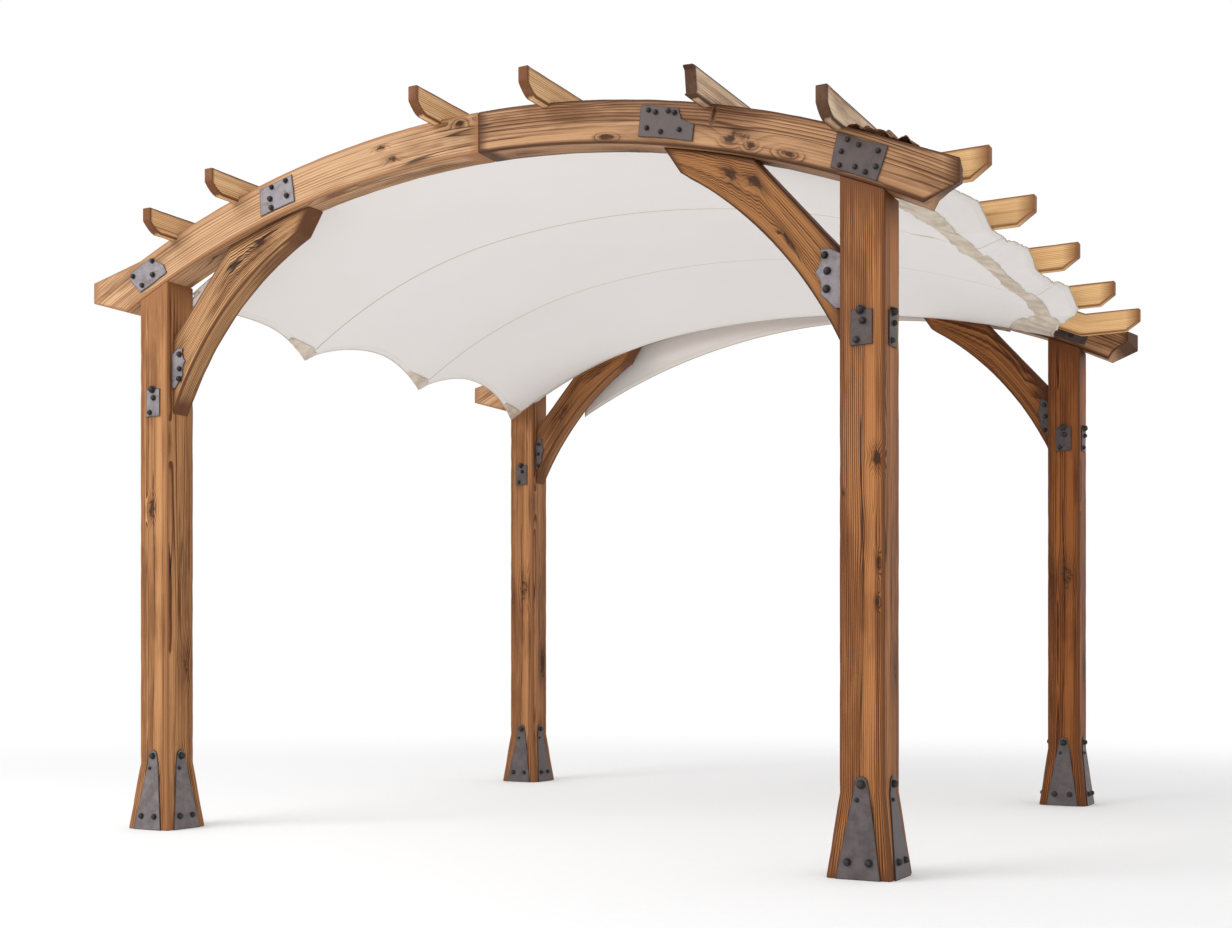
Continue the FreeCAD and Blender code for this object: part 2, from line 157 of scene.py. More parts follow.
class Desk:
    """Lays shader nodes on a node tree and joins them up."""

    def __init__(self, tree):
        self.tree = tree

    def join(self, value, socket):
        if isinstance(value, bpy.types.NodeSocket):
            self.tree.links.new(value, socket)
        elif value is not None:
            socket.default_value = value

    def math(self, operation, first, second=None, third=None, clamp=False):
        node = self.tree.nodes.new("ShaderNodeMath")
        node.operation = operation
        node.use_clamp = clamp
        for value, socket in zip((first, second, third), node.inputs):
            self.join(value, socket)
        return node.outputs[0]

    def vector(self, operation, first, second=None, scale=None):
        node = self.tree.nodes.new("ShaderNodeVectorMath")
        node.operation = operation
        self.join(first, node.inputs[0])
        self.join(second, node.inputs[1])
        if scale is not None:
            self.join(scale, node.inputs["Scale"])
        return node.outputs["Value"] if operation in ("LENGTH", "DOT_PRODUCT") else node.outputs[0]

    def noise(self, place, scale, detail=2.0, roughness=0.5, colour=False):
        node = self.tree.nodes.new("ShaderNodeTexNoise")
        self.join(place, node.inputs["Vector"])
        self.join(scale, node.inputs["Scale"])
        self.join(detail, node.inputs["Detail"])
        self.join(roughness, node.inputs["Roughness"])
        return node.outputs["Color" if colour else "Fac"]

    def range(self, value, low, high, new_low=0.0, new_high=1.0):
        node = self.tree.nodes.new("ShaderNodeMapRange")
        node.interpolation_type = "SMOOTHSTEP"
        for part, socket in zip((value, low, high, new_low, new_high), node.inputs):
            self.join(part, socket)
        return node.outputs[0]

    def mix(self, share, first, second, blend="MIX"):
        node = self.tree.nodes.new("ShaderNodeMix")
        node.data_type = "RGBA"
        node.blend_type = blend
        self.join(share, node.inputs[0])
        self.join(first, node.inputs[6])
        self.join(second, node.inputs[7])
        return node.outputs[2]

    def place(self):
        return self.tree.nodes.new("ShaderNodeTexCoord").outputs["Object"]

    def read(self, attribute):
        node = self.tree.nodes.new("ShaderNodeAttribute")
        node.attribute_name = attribute
        return node.outputs

    def split(self, value):
        node = self.tree.nodes.new("ShaderNodeSeparateXYZ")
        self.join(value, node.inputs[0])
        return node.outputs

    def raise_surface(self, shader, height, strength, distance):
        node = self.tree.nodes.new("ShaderNodeBump")
        node.inputs["Strength"].default_value = strength
        node.inputs["Distance"].default_value = distance
        self.join(height, node.inputs["Height"])
        self.join(node.outputs["Normal"], shader.inputs["Normal"])


def new_finish(name, roughness=0.5):
    """Empty material, with a desk to lay its nodes on and its main shader."""
    finish = bpy.data.materials.new(name)
    finish.use_nodes = True
    shader = finish.node_tree.nodes["Principled BSDF"]
    shader.inputs["Roughness"].default_value = roughness
    return finish, Desk(finish.node_tree), shader


# Wood grain: yearly rings about the heart of the tree, cut through by the faces, with drifting
# streaks, fine fibres, knots that push the rings aside, and cracks that run with the fibres.
wood_grain = shader_group("wood_grain", (
    ("Grain", "Vector"), ("Heart", "Vector"), ("Ring Width", "Float"), ("Ring Strength", "Float"),
    ("Pale", "Color"), ("Dark", "Color"), ("Knots", "Float"), ("Cracks", "Float"),
    ("Stain", "Float"), ("Wear And Shade", "Float"), ("Edge And Shade", "Color"), ("Big Knot", "Float")),
    (("Color", "Color"), ("Roughness", "Float"), ("Height", "Float")))
desk = Desk(wood_grain)
given = wood_grain.nodes.new("NodeGroupInput").outputs
result = wood_grain.nodes.new("NodeGroupOutput")


def stretched(scales, strength=1.0, detail=2.0, roughness=0.5, colour=False):
    return desk.noise(desk.vector("MULTIPLY", given["Grain"], scales), strength, detail,
                      roughness, colour)


drift = desk.vector("SUBTRACT", stretched((0.45, 4.5, 4.5), 1.0, 2.0, 0.45, True), (0.5, 0.5, 0.5))
drift = desk.vector("MULTIPLY", drift, (0.0, 0.036, 0.036))
waver = desk.vector("SUBTRACT", stretched((3.5, 14.0, 14.0), 1.0, 2.0, 0.5, True), (0.5, 0.5, 0.5))
waver = desk.vector("MULTIPLY", waver, (0.0, 0.007, 0.007))
cells = wood_grain.nodes.new("ShaderNodeTexVoronoi")
cells.inputs["Scale"].default_value = 1.0
desk.join(desk.vector("MULTIPLY", given["Grain"], (2.1, 7.0, 7.0)), cells.inputs["Vector"])
ragged = desk.math("MULTIPLY", desk.math("SUBTRACT", desk.noise(given["Grain"], 42.0, 4.0, 0.7),
                                         0.5), 0.42)
knot_gap = desk.math("MINIMUM", desk.math("ADD", cells.outputs["Distance"], desk.math(
    "SUBTRACT", 1.0, given["Knots"])), given["Big Knot"])
knot_push = desk.range(knot_gap, 0.04, 0.45, 0.017, 0.0)
from_heart = desk.vector("ADD", desk.vector("ADD", given["Grain"], drift), waver)
from_heart = desk.vector("MULTIPLY", desk.vector("SUBTRACT", from_heart, given["Heart"]),
                         (0.0, 1.0, 1.0))
radius = desk.math("ADD", desk.vector("LENGTH", from_heart), knot_push)
ring = desk.math("FRACT", desk.math("DIVIDE", radius, given["Ring Width"]))
late = desk.math("MULTIPLY", desk.math("POWER", ring, 2.6), desk.range(ring, 1.0, 0.90))
late = desk.math("MULTIPLY", late, desk.range(stretched((0.7, 17.0, 17.0)), 0.32, 0.62, 0.45, 2.0))
streak = stretched((0.7, 60.0, 60.0), 1.0, 3.0, 0.65)
line = desk.range(desk.math("ABSOLUTE", desk.math("SUBTRACT", stretched((0.55, 85.0, 85.0), 1.0,
                                                                       1.0), 0.5)), 0.05, 0.0)
fibre = stretched((5.0, 270.0, 270.0), 1.0, 3.0, 0.65)
stain = stretched((1.5, 7.0, 7.0), 1.0, 4.0, 0.62)
crack_line = desk.range(desk.math("ABSOLUTE", desk.math("SUBTRACT", stretched(
    (0.6, 17.0, 17.0), 1.0, 1.0), 0.5)), 0.016, 0.004)
crack = desk.math("MULTIPLY", crack_line, desk.range(stretched((1.1, 6.0, 6.0), 1.0, 1.0),
                                                     0.54, 0.60))
crack = desk.math("MULTIPLY", crack, given["Cracks"])
fleck = desk.range(stretched((3.6, 95.0, 95.0), 1.0, 2.0, 0.5), 0.64, 0.73, 0.0, 0.75)
fleck = desk.math("MULTIPLY", fleck, desk.range(stretched((1.3, 5.0, 5.0)), 0.45, 0.58))
knot_core = desk.range(desk.math("ADD", knot_gap, ragged), 0.20, 0.08)
knot_halo = desk.range(knot_gap, 0.44, 0.14)
darkness = desk.math("MULTIPLY", late, given["Ring Strength"])
darkness = desk.math("ADD", darkness, desk.range(streak, 0.46, 0.74, 0.0, 0.55))
darkness = desk.math("ADD", darkness, desk.math("MULTIPLY", line, 0.20))
darkness = desk.math("ADD", darkness, desk.math("MULTIPLY", knot_halo, 0.35))
darkness = desk.math("ADD", darkness, desk.math(
    "MULTIPLY", desk.math("SUBTRACT", fibre, 0.5), 0.95), clamp=True)
colour = desk.mix(darkness, given["Pale"], given["Dark"])
stain_share = desk.math("MULTIPLY", desk.range(stain, 0.50, 0.66), given["Stain"])
stain_share = desk.math("MAXIMUM", stain_share, fleck)
colour = desk.mix(stain_share, colour, desk.mix(1.0, colour, (0.36, 0.27, 0.22, 1), "MULTIPLY"))
colour = desk.mix(desk.math("MULTIPLY", knot_core, 0.88), colour, (0.035, 0.013, 0.006, 1))
colour = desk.mix(desk.math("MULTIPLY", crack, 0.92), colour, (0.016, 0.008, 0.005, 1))
# Worn arrises, end grain and nose undersides take the edge colour, and so does the painted shade at
# post tops and brace ends.
wear_and_shade_share = desk.math("MULTIPLY", given["Wear And Shade"], desk.range(stain, 0.40, 0.64, 0.98, 0.88))
colour = desk.mix(wear_and_shade_share, colour, given["Edge And Shade"])
desk.join(colour, result.inputs["Color"])
desk.join(desk.range(fibre, 0.3, 0.8, 0.50, 0.70), result.inputs["Roughness"])
height = desk.math("SUBTRACT", desk.math("MULTIPLY", fibre, 0.30), desk.math("MULTIPLY", late, 0.45))
height = desk.math("SUBTRACT", height, desk.math("MULTIPLY", streak, 0.35))
height = desk.math("SUBTRACT", height, desk.math("MULTIPLY", crack, 1.5))
height = desk.math("SUBTRACT", height, desk.math("MULTIPLY", knot_core, 0.6))
desk.join(height, result.inputs["Height"])


def wood_finish(name, pale, dark, edge, ring, heart, knots=1.0, cracks=1.0, stain=0.5,
                big_knots=()):
    """Oiled timber: each piece reads its grain from its own map, laid along its length. Each
    big knot is a place in that map, with its half length and half width."""
    finish, desk, shader = new_finish(name)
    shader.inputs["Specular IOR Level"].default_value = 0.14
    grain = desk.read("grain")["Vector"]
    group = desk.tree.nodes.new("ShaderNodeGroup")
    group.node_tree = wood_grain
    desk.join(grain, group.inputs["Grain"])
    desk.join(desk.read("wear_and_shade")["Fac"], group.inputs["Wear And Shade"])
    big_knot = 1.0
    for place, half_length, half_width in big_knots:
        away = desk.vector("SUBTRACT", grain, place)
        away = desk.vector("MULTIPLY", away, (0.22 / half_length, 0.22 / half_width,
                                              0.22 / half_width))
        big_knot = desk.math("MINIMUM", desk.vector("LENGTH", away), big_knot)
    desk.join(big_knot, group.inputs["Big Knot"])
    group.inputs["Heart"].default_value = heart
    group.inputs["Ring Width"].default_value = ring[0]
    group.inputs["Ring Strength"].default_value = ring[1]
    group.inputs["Pale"].default_value = pale + (1,)
    group.inputs["Dark"].default_value = dark + (1,)
    # The edge colour is also the colour of the painted shade at post tops and brace ends.
    group.inputs["Edge And Shade"].default_value = edge + (1,)
    group.inputs["Knots"].default_value = knots
    group.inputs["Cracks"].default_value = cracks
    group.inputs["Stain"].default_value = stain
    desk.join(group.outputs["Color"], shader.inputs["Base Color"])
    desk.join(group.outputs["Roughness"], shader.inputs["Roughness"])
    desk.raise_surface(shader, group.outputs["Height"], 0.4, 0.002)
    return finish


post_finishes = {
    "front_left": wood_finish("post_timber_pale", (0.53, 0.262, 0.105), (0.13, 0.042, 0.014),
                              (0.30, 0.13, 0.05), (0.0066, 1.1), (0, -0.070, 0.034), 0.9, 1.0,
                              0.5, [((1.32, -0.075, 0.01), 0.05, 0.022)]),
    "front_right": wood_finish("post_timber_brown", (0.475, 0.195, 0.066), (0.085, 0.026, 0.008),
                               (0.15, 0.055, 0.02), (0.0064, 1.2), (0, -0.074, -0.040), 0.9,
                               1.0, 0.5, [((1.345, -0.075, -0.052), 0.036, 0.024),
                                          ((1.215, -0.075, 0.066), 0.014, 0.010),
                                          ((1.01, -0.075, -0.056), 0.030, 0.008),
                                          ((0.885, -0.075, -0.052), 0.022, 0.008)]),
    "rear_left": wood_finish("post_timber_rear", (0.46, 0.21, 0.082), (0.12, 0.04, 0.014),
                             (0.22, 0.088, 0.034), (0.0070, 1.0), (0, -0.060, -0.035), 1.0, 1.0,
                             0.5),
    "rear_right": wood_finish("post_timber_dark", (0.335, 0.112, 0.028), (0.075, 0.022, 0.006),
                              (0.13, 0.045, 0.015), (0.0068, 1.05), (0, -0.065, 0.025), 1.0, 1.0,
                              0.5),
}
post_arris = 0.005
post_length = on_circle(arch_radius, half_span)


def post_shape(place):
    def shape(straight):
        x, y, rise = -straight.z, straight.y, straight.x
        flare = 1 + (foot_side / post_side - 1) * max(0.0, 1 - rise / flare_height)
        x *= flare
        y *= flare
        if rise > flare_height:
            top = on_circle(arch_radius, abs(place.x) + math.copysign(1, place.x) * x)
            share = (rise - flare_height) / (post_length - flare_height)
            rise = flare_height + share * (top - flare_height)
        return Vector((place.x + x, place.y + y, rise))
    return shape


post_stations = [flare_height] + [step * 0.045 for step in range(1, 48) if step != 6]
for name, place in post_places.items():
    timber = sawn_timber(post_length, post_side, post_side, post_stations, post_arris)
    fix_timber(timber, name + "_shaft", name + "_post",
               (post_length, post_side, post_side, post_arris), post_shape(place), 0,
               post_finishes[name], "post_wood")

# Arches: curved glued beams 150 mm deep and 120 mm thick, in two halves butted near the crown,
# with clipped noses beyond the posts. The left half has weathered paler than the right one.
arch_depth = 0.15
arch_thick = 0.12
arch_top = arch_radius + arch_depth
eave = 1.866
splice_place = 0.07
straight_length = 0.266
arch_ends = {-1: (0.003, 0.063, 0.085, 0.187), 1: (-0.023, 0.102, 0.077, 0.118)}
arch_arris = 0.005
nose_skew = 0.026
nose_lift = 0.030
arch_y = half_depth + post_side / 2 - arch_thick / 2
arch_finishes = {
    -1: wood_finish("arch_timber_pale", (0.60, 0.375, 0.205), (0.26, 0.112, 0.048),
                    (0.33, 0.155, 0.07), (0.009, 0.8), (0, -0.085, 0.05), 0.9, 0.9, 0.6,
                    [((-0.31, -0.06, -0.022), 0.035, 0.016), ((-0.36, -0.06, 0.03), 0.03, 0.011),
                     ((-0.01, -0.06, 0.045), 0.03, 0.014)]),
    1: wood_finish("arch_timber_dark", (0.505, 0.283, 0.143), (0.15, 0.062, 0.026),
                   (0.075, 0.029, 0.013), (0.0085, 0.75), (0, -0.13, -0.05), 0.9, 0.9, 0.65,
                   [((0.60, -0.06, -0.055), 0.04, 0.012), ((1.07, -0.06, -0.035), 0.035, 0.020),
                    ((1.15, -0.06, -0.042), 0.028, 0.018), ((1.29, -0.06, -0.048), 0.04, 0.015),
                    ((0.99, -0.06, 0.045), 0.008, 0.030)]),
}


def arch_shape(side, y):
    past, straight_fall, nose_height, clip_length = arch_ends[side]
    bend = eave - straight_length
    clip = eave + past - clip_length
    bend_top = on_circle(arch_top, bend)
    nose_low = bend_top - straight_fall - nose_height
    clip_low = on_circle(arch_radius, clip)

    def shape(straight):
        x = splice_place * side + straight.x
        top = on_circle(arch_top, x)
        if x > bend:
            top = bend_top - straight_fall * (x - bend) / (straight_length + past)
        low = on_circle(arch_radius, min(x, clip))
        if x > clip:
            low = clip_low + (nose_low - clip_low) * (x - clip) / clip_length
        share = straight.z / arch_depth + 0.5
        if side > 0 and x > clip:
            behind = 0.5 - straight.y * math.copysign(1, y) / arch_thick
            low += nose_lift * behind * min(1.0, 4 * (x - clip) / clip_length)
            x -= nose_skew * behind * (x - clip) / clip_length
        return Vector((side * x, y + straight.y, low + share * (top - low)))
    return shape


for end, y in (("front", -arch_y), ("rear", arch_y)):
    for side, name in ((-1, "left"), (1, "right")):
        length = eave + arch_ends[side][0] - splice_place * side
        stations = [eave - straight_length - splice_place * side, length - arch_ends[side][3]]
        stations += [step * 0.043 for step in range(1, int(length / 0.043))]
        timber = sawn_timber(length, arch_depth, arch_thick, stations, arch_arris)
        fix_timber(timber, "%s_%s_arch_beam" % (end, name), "%s_arch_%s" % (end, name),
                   (length, arch_depth, arch_thick, arch_arris), arch_shape(side, y),
                   0, arch_finishes[side], "arch_wood", "arched")

# Braces: 90 mm boards sawn with a hollow lower edge, housed under the arch at the tip and
# against the post below, each on the middle line of its post.
brace_thick = 0.09
brace_drop = 0.545
brace_shoulder_drop = 0.238
brace_heel = 0.312
brace_arris = 0.005
brace_length = 0.74
brace_depth = 0.16
brace_bend = 0.45
brace_tip_cut = Vector((0.064, 0, -0.096))
brace_belly = Vector((-0.267, 0, -0.152))
post_inner = half_span - post_side / 2
spring_height = on_circle(arch_radius, post_inner)
brace_reaches = {"front_left": 0.715, "front_right": 0.646, "rear_left": 0.646,
                 "rear_right": 0.646}
brace_finishes = {
    "front_left": wood_finish("brace_timber_pale", (0.60, 0.34, 0.155), (0.12, 0.042, 0.015),
                              (0.13, 0.05, 0.02), (0.0080, 0.95), (0, -0.07, -0.09), 0.9, 1.0,
                              0.85, [((58.59, -0.045, 0.02), 0.04, 0.016)]),
    "front_right": wood_finish("brace_timber", (0.38, 0.165, 0.055), (0.070, 0.022, 0.007),
                               (0.055, 0.019, 0.008), (0.0085, 0.95), (0, -0.06, 0.10), 0.8, 0.9,
                               1.0, [((65.93, -0.045, 0.025), 0.035, 0.022),
                                     ((66.03, -0.045, 0.03), 0.045, 0.018),
                                     ((66.16, -0.045, -0.03), 0.05, 0.012)]),
    "rear_left": wood_finish("brace_timber_rear", (0.39, 0.17, 0.06), (0.085, 0.028, 0.010),
                             (0.14, 0.052, 0.02), (0.0085, 0.9), (0, 0.07, -0.08), 1.0, 1.0,
                             0.8),
    "rear_right": wood_finish("brace_timber_dark", (0.33, 0.122, 0.036), (0.07, 0.022, 0.007),
                              (0.10, 0.036, 0.013), (0.0085, 0.9), (0, 0.07, 0.08), 1.0, 1.0,
                              0.8),
}


def circle_through(first, middle, last):
    """Centre and radius of the circle through three points of an upright plane, y left out."""
    a, b = middle - first, last - first
    cross = 2 * (a.x * b.z - a.z * b.x)
    centre = first + Vector(((b.z * a.dot(a) - a.z * b.dot(b)) / cross, 0,
                             (a.x * b.dot(b) - b.x * a.dot(a)) / cross))
    return centre, (first - centre).length


def brace_shape(place, reach):
    tip = Vector((post_inner - reach, 0, on_circle(arch_radius, post_inner - reach)))
    heel = Vector((post_inner - brace_heel, 0, on_circle(arch_radius, post_inner - brace_heel)))
    shoulder = Vector((post_inner, 0, spring_height - brace_shoulder_drop))
    low = Vector((post_inner, 0, spring_height - brace_drop))
    cut = tip + brace_tip_cut
    belly = Vector((post_inner, 0, spring_height)) + brace_belly
    centre, radius = circle_through(cut, belly, low)
    turn_cut = math.atan2(cut.z - centre.z, cut.x - centre.x)
    turn_low = math.atan2(low.z - centre.z, low.x - centre.x)

    def shape(straight):
        share = straight.x / brace_length
        if share < brace_bend:
            x = tip.x + (heel.x - tip.x) * share / brace_bend
            upper = Vector((x, 0, on_circle(arch_radius, x)))
        else:
            upper = heel.lerp(shoulder, (share - brace_bend) / (1 - brace_bend))
        turn = turn_cut + (turn_low - turn_cut) * share
        lower = centre + Vector((math.cos(turn), 0, math.sin(turn))) * radius
        point = lower.lerp(upper, straight.z / brace_depth + 0.5)
        side = math.copysign(1, place.x)
        return Vector((side * point.x, place.y + straight.y, point.z))
    return shape


for tree, (name, place) in enumerate(post_places.items(), start=8):
    stations = [brace_length * brace_bend] + [step * 0.037 for step in range(1, 20)]
    timber = sawn_timber(brace_length, brace_depth, brace_thick, stations, brace_arris)
    fix_timber(timber, name + "_curved_brace", name + "_brace",
               (brace_length, brace_depth, brace_thick, brace_arris),
               brace_shape(place, brace_reaches[name]), tree, brace_finishes[name], "brace_wood")

# Ribs: curved boards between the arches, notched under the purlins, with straight tails that
# run out over the right eave and end in clipped noses. Pale timber, oiled golden.
rib_depth = 0.10
rib_thick = 0.042
rib_low = arch_top - rib_depth
rib_left = 0.3 - eave
tail_start = eave - 0.226
tail_end = eave + 0.019
tail_top = on_circle(arch_top, tail_start)
tail_low = tail_top - rib_depth
tail_nose = 0.056
tail_clip = 0.062
rib_places = (-1.304, -0.71, 0.0, 0.71, 1.304)
rib_arris = 0.0035
rib_finish = wood_finish("rib_timber", (0.86, 0.56, 0.27), (0.58, 0.29, 0.105),
                         (0.24, 0.092, 0.032), (0.0065, 0.65), (0, -0.06, -0.16), 0.5, 0.3,
                         0.25)


def rib_shape(place):
    def shape(straight):
        x = rib_left + straight.x
        top = on_circle(arch_top, min(x, tail_start))
        low = max(on_circle(rib_low, x), tail_low)
        if x > tail_end - tail_clip:
            low += (rib_depth - tail_nose) * (x - tail_end + tail_clip) / tail_clip
        return Vector((x, place + straight.y, low + (straight.z / rib_depth + 0.5) * (top - low)))
    return shape


rib_length = tail_end - rib_left
rib_stations = [tail_start - rib_left, rib_length - tail_clip]
rib_stations += [step * 0.06 for step in range(1, 57)]
for number, place in enumerate(rib_places, start=1):
    timber = sawn_timber(rib_length, rib_depth, rib_thick, rib_stations, rib_arris)
    fix_timber(timber, "roof_rib_%d" % number, "rib_%d" % number,
               (rib_length, rib_depth, rib_thick, rib_arris), rib_shape(place), number * 0.7 + 13,
               rib_finish, "roof_wood", "topped")

# Purlins: boards on edge from front to rear, notched a finger's depth over arches and ribs. The
# noses are rounded below, and one board was cut with hollow noses.
purlin_places = (-1.415, -1.087, -0.113, 0.353, 0.983, 1.446)
purlin_thick = 0.04
purlin_depth = 0.095
purlin_stand = 0.08
purlin_reach = 1.65
purlin_nose = 0.05
purlin_round = 0.062
purlin_arris = 0.004
hollow_nosed = 5
purlin_finish = wood_finish("purlin_timber", (0.86, 0.57, 0.30), (0.42, 0.20, 0.08),
                            (0.16, 0.058, 0.022), (0.0070, 0.7), (0, 0.06, -0.14), 0.8, 0.7,
                            0.4)
bleached_finish = wood_finish("purlin_timber_bleached", (0.80, 0.60, 0.42), (0.36, 0.19, 0.10),
                              (0.065, 0.022, 0.009), (0.0075, 0.7), (0, 0.06, -0.15), 0.8, 0.8,
                              0.8)


def purlin_shape(place, hollow):
    top = on_circle(arch_top, place) + purlin_stand
    low = top - purlin_depth
    toe = purlin_reach - purlin_round

    def shape(straight):
        y = straight.x - purlin_reach
        share = straight.z / purlin_depth + 0.5
        under = low
        if hollow:
            bitten = 0.014 + 0.126 * share - 0.14 * share ** 2
            near_end = max(0.0, (abs(y) - purlin_reach + 0.1) / 0.1)
            y -= math.copysign(bitten * near_end, y)
        elif abs(y) > toe:
            q = (abs(y) - toe) / purlin_round
            under = low + (purlin_depth - purlin_nose) * (0.25 * q + 0.75 * q * q)
        return Vector((place + straight.y, y, under + share * (top - under)))
    return shape


purlin_length = 2 * purlin_reach
purlin_stations = [purlin_length / 2 + side * (purlin_reach - gap)
                   for side in (-1, 1) for gap in (0.016, 0.031, 0.046, 0.062, 0.1)]
purlin_stations += [0.15 + step * 0.06 for step in range(51)]
for number, place in enumerate(purlin_places, start=1):
    timber = sawn_timber(purlin_length, purlin_depth, purlin_thick, purlin_stations, purlin_arris)
    fix_timber(timber, "roof_purlin_%d" % number, "purlin_%d" % number,
               (purlin_length, purlin_depth, purlin_thick, purlin_arris),
               purlin_shape(place, number == hollow_nosed), number * 0.9 + 20,
               bleached_finish if number >= hollow_nosed else purlin_finish, "roof_wood", "topped")

# Steel plates: 5 mm plate cut by hand and bolted over the joints, with the edges dressed and the
# scale and rust left on. Those on the left of the front are rubbed pale, the others are dark.
steel_skin = shader_group("steel_skin", (
    ("Place", "Vector"), ("Pale", "Color"), ("Dark", "Color"), ("Rust", "Float"),
    ("Rim", "Float")),
    (("Color", "Color"), ("Roughness", "Float"), ("Height", "Float")))
desk = Desk(steel_skin)
given = steel_skin.nodes.new("NodeGroupInput").outputs
result = steel_skin.nodes.new("NodeGroupOutput")
cloud = desk.noise(given["Place"], 22.0, 5.0, 0.6)
scuff = desk.noise(desk.vector("MULTIPLY", given["Place"], (50.0, 50.0, 160.0)), 1.0, 4.0, 0.65)
rust_cloud = desk.noise(given["Place"], 34.0, 5.0, 0.7)
colour = desk.mix(desk.range(cloud, 0.3, 0.7), given["Dark"], given["Pale"])
colour = desk.mix(desk.range(scuff, 0.5, 0.75, 0.0, 0.4), colour, given["Pale"])
rust_share = desk.math("MULTIPLY", desk.range(rust_cloud, 0.54, 0.70), given["Rust"])
colour = desk.mix(rust_share, colour, (0.12, 0.062, 0.036, 1))
rim = desk.math("MULTIPLY", given["Rim"], desk.range(cloud, 0.35, 0.6, 0.55, 0.9))
colour = desk.mix(rim, colour, (0.035, 0.027, 0.025, 1))
desk.join(colour, result.inputs["Color"])
desk.join(desk.range(cloud, 0.25, 0.75, 0.40, 0.62), result.inputs["Roughness"])
desk.join(desk.math("ADD", desk.math("MULTIPLY", cloud, 0.8),
                    desk.math("MULTIPLY", scuff, 0.3)), result.inputs["Height"])


def steel_finish(name, pale, dark, rust):
    finish, desk, shader = new_finish(name)
    shader.inputs["Metallic"].default_value = 0.3
    group = desk.tree.nodes.new("ShaderNodeGroup")
    group.node_tree = steel_skin
    desk.join(desk.place(), group.inputs["Place"])
    desk.join(desk.read("rim")["Fac"], group.inputs["Rim"])
    group.inputs["Pale"].default_value = pale + (1,)
    group.inputs["Dark"].default_value = dark + (1,)
    group.inputs["Rust"].default_value = rust
    desk.join(group.outputs["Color"], shader.inputs["Base Color"])
    desk.join(group.outputs["Roughness"], shader.inputs["Roughness"])
    desk.raise_surface(shader, group.outputs["Height"], 0.5, 0.003)
    return finish


dark_steel = steel_finish("dark_plate_steel", (0.098, 0.072, 0.068), (0.05, 0.037, 0.035), 0.6)
foot_steel = steel_finish("foot_plate_steel", (0.118, 0.095, 0.097), (0.066, 0.052, 0.053), 0.5)
rubbed_foot_steel = steel_finish("rubbed_foot_steel", (0.20, 0.172, 0.172), (0.12, 0.10, 0.10), 0.5)
pale_steel = steel_finish("rubbed_plate_steel", (0.265, 0.24, 0.255), (0.15, 0.13, 0.14), 0.6)
bolt_steel = steel_finish("bolt_steel", (0.032, 0.028, 0.029), (0.010, 0.009, 0.009), 0.3)


def hang_steel(steel, name, finish, node):
    """Dresses the edges, marks the rim of every broad face and hangs the steel in."""
    sharp = [edge for edge in steel.edges if edge.calc_face_angle(0) > math.radians(40)]
    bmesh.ops.bevel(steel, geom=sharp, affect="EDGES", offset=0.0010, segments=2, profile=0.5,
                    material=-1)
    rim = steel.verts.layers.float.new("rim")
    broad = [face for face in steel.faces if face.calc_area() > 0.005 * face.calc_perimeter()]
    bmesh.ops.inset_region(steel, faces=broad, thickness=0.0035, use_boundary=True,
                           use_even_offset=True)
    inner = {vert for face in broad for vert in face.verts}
    for vert in steel.verts:
        vert[rim] = 0.0 if vert in inner else 1.0
    bmesh.ops.recalc_face_normals(steel, faces=steel.faces)
    piece = make_piece(steel, name, finish)
    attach(piece, "root")
    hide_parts(node)


def regular_plate(node, name, finish, keep=lambda at: True):
    """The sawn plates of a node, or those of them that keep picks, with dressed edges."""
    plate = bmesh.new()
    plate.from_mesh(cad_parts[node].data)
    bmesh.ops.remove_doubles(plate, verts=plate.verts, dist=1e-5)
    bmesh.ops.dissolve_limit(plate, angle_limit=math.radians(2), verts=plate.verts,
                             edges=plate.edges)
    spare = [vert for vert in plate.verts if not keep(vert.co)]
    bmesh.ops.delete(plate, geom=spare, context="VERTS")
    hang_steel(plate, name, finish, node)


def on_arch(along, across, y):
    """Place on the arch, measured along its underside and out from it."""
    turn = along / arch_radius
    radius = arch_radius + across
    return Vector((radius * math.sin(turn), y, arch_centre + radius * math.cos(turn)))


plate_thick = 0.005
arch_face = half_depth + post_side / 2
arch_inner = arch_face - arch_thick
arch_plate_outlines = {
    "end_plate_left": (pale_steel, (
        (-1.652, 0.125), (-1.582, 0.129), (-1.531, 0.128), (-1.478, 0.069), (-1.475, 0.030),
        (-1.560, 0.026), (-1.635, 0.028), (-1.658, 0.095))),
    "brace_plate_left": (pale_steel, (
        (-0.933, 0.132), (-0.850, 0.128), (-0.774, 0.130), (-0.779, 0.024), (-0.953, 0.026))),
    "brace_plate_right": (dark_steel, (
        (0.718, 0.129), (0.859, 0.124), (0.877, 0.090), (0.928, 0.074), (0.936, 0.018),
        (0.830, 0.022), (0.726, 0.022))),
    "end_plate_right": (dark_steel, (
        (1.431, 0.128), (1.520, 0.122), (1.610, 0.125), (1.618, 0.014), (1.450, 0.015))),
}
for name, (finish, outline) in arch_plate_outlines.items():
    plate = bmesh.new()
    corners = [plate.verts.new((along, 0, across)) for along, across in outline]
    edges = [plate.edges.new(pair) for pair in zip(corners, corners[1:] + corners[:1])]
    bmesh.ops.subdivide_edges(plate, edges=edges, cuts=4)
    for vert in plate.verts:
        uneven = 0.0014 * noise.noise(vert.co * 60)
        vert.co = on_arch(vert.co.x + uneven, vert.co.z + uneven, -arch_face)
    sheet = bmesh.ops.contextual_create(plate, geom=plate.edges[:])["faces"]
    grown = bmesh.ops.extrude_face_region(plate, geom=sheet)["geom"]
    bmesh.ops.translate(plate, vec=(0, -plate_thick, 0),
                        verts=[item for item in grown if isinstance(item, bmesh.types.BMVert)])
    hang_steel(plate, "front_" + name, finish, "front_arch_plates")
regular_plate("front_arch_plates", "front_inner_arch_plates", dark_steel,
              lambda at: at.y > -half_depth)
